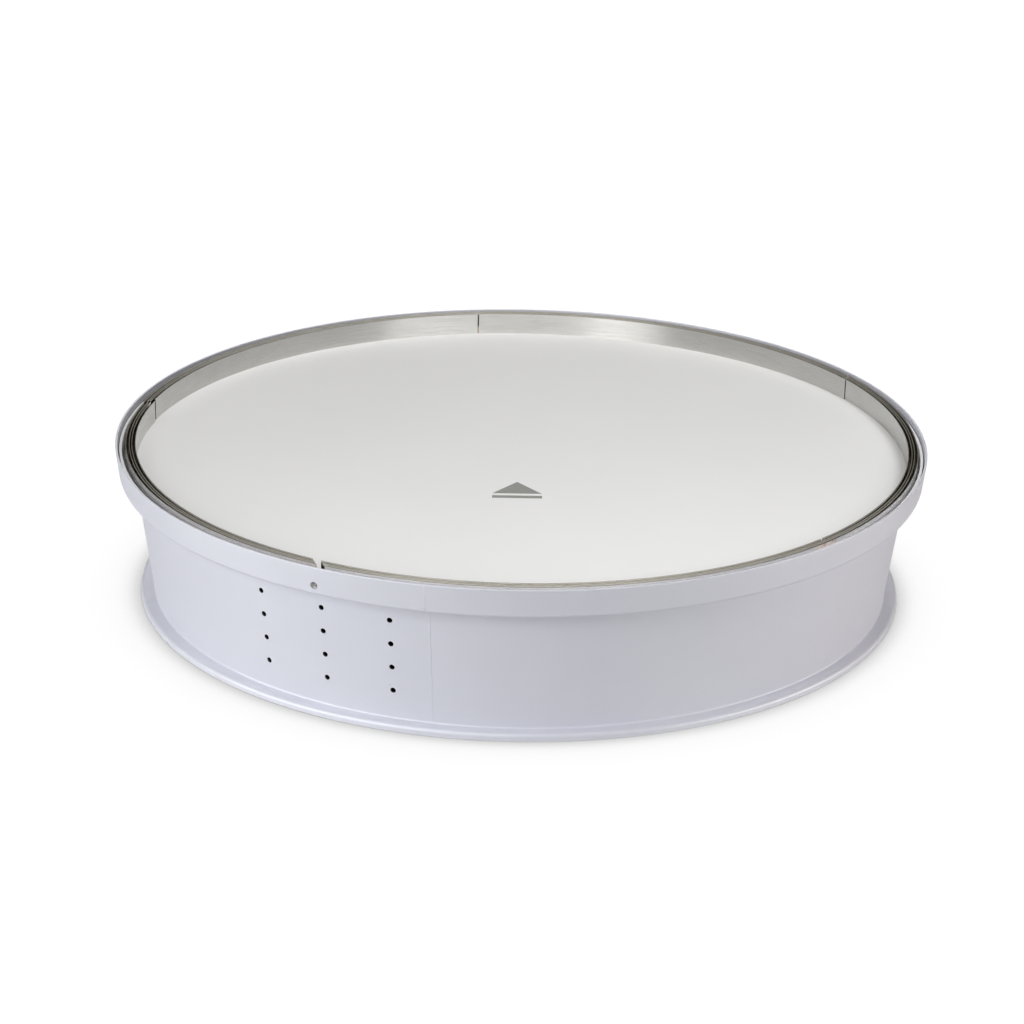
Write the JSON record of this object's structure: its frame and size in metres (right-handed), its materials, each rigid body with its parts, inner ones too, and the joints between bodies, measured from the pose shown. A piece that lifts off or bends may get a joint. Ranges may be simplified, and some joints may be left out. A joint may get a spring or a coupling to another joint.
{
  "type": "dish antenna isolator radome",
  "caption": "Open metal drum with a flat plastic radome, nested choke strips round its rim, a wider collar, drain holes and a small base flange, for the front of a dish antenna.",
  "frame": {"origin": "centre of the base plane, where the flange lip stands", "axes": "+Z along the drum's axis, out of the radome; -Y towards the printed mark"},
  "size_m": [0.6998, 0.6998, 0.137],
  "materials": {
    "shroud_paint": "satin powder coat, pale cool grey-white",
    "cover_plastic": "fine matt, warm white, UV-stable",
    "foam_tape": "closed-cell foam tape",
    "choke_metal": "stainless, brushed along the strip",
    "spacer_plastic": "tan, matt"
  },
  "bodies": {
    "root": {"shroud_shell": "shroud_paint", "radome_cover": "cover_plastic", "cover_tape": "foam_tape", "choke_strip_inner_1": "choke_metal", "choke_strip_inner_2": "choke_metal", "choke_strip_inner_3": "choke_metal", "choke_strip_inner_4": "choke_metal", "choke_strip_inner_5": "choke_metal", "choke_strip_second_1": "choke_metal", "choke_strip_second_2": "choke_metal", "choke_strip_second_3": "choke_metal", "choke_strip_second_4": "choke_metal", "choke_strip_second_5": "choke_metal", "choke_strip_third_1": "choke_metal", "choke_strip_third_2": "choke_metal", "choke_strip_third_3": "choke_metal", "choke_strip_third_4": "choke_metal", "choke_strip_third_5": "choke_metal", "choke_strip_outer_1": "choke_metal", "choke_strip_outer_2": "choke_metal", "choke_strip_outer_3": "choke_metal", "choke_strip_outer_4": "choke_metal", "choke_strip_outer_5": "choke_metal", "choke_spacers_1": "spacer_plastic", "choke_spacers_2": "spacer_plastic", "choke_spacers_3": "spacer_plastic", "choke_spacers_4": "spacer_plastic", "choke_spacers_5": "spacer_plastic"}
  },
  "joints": []
}
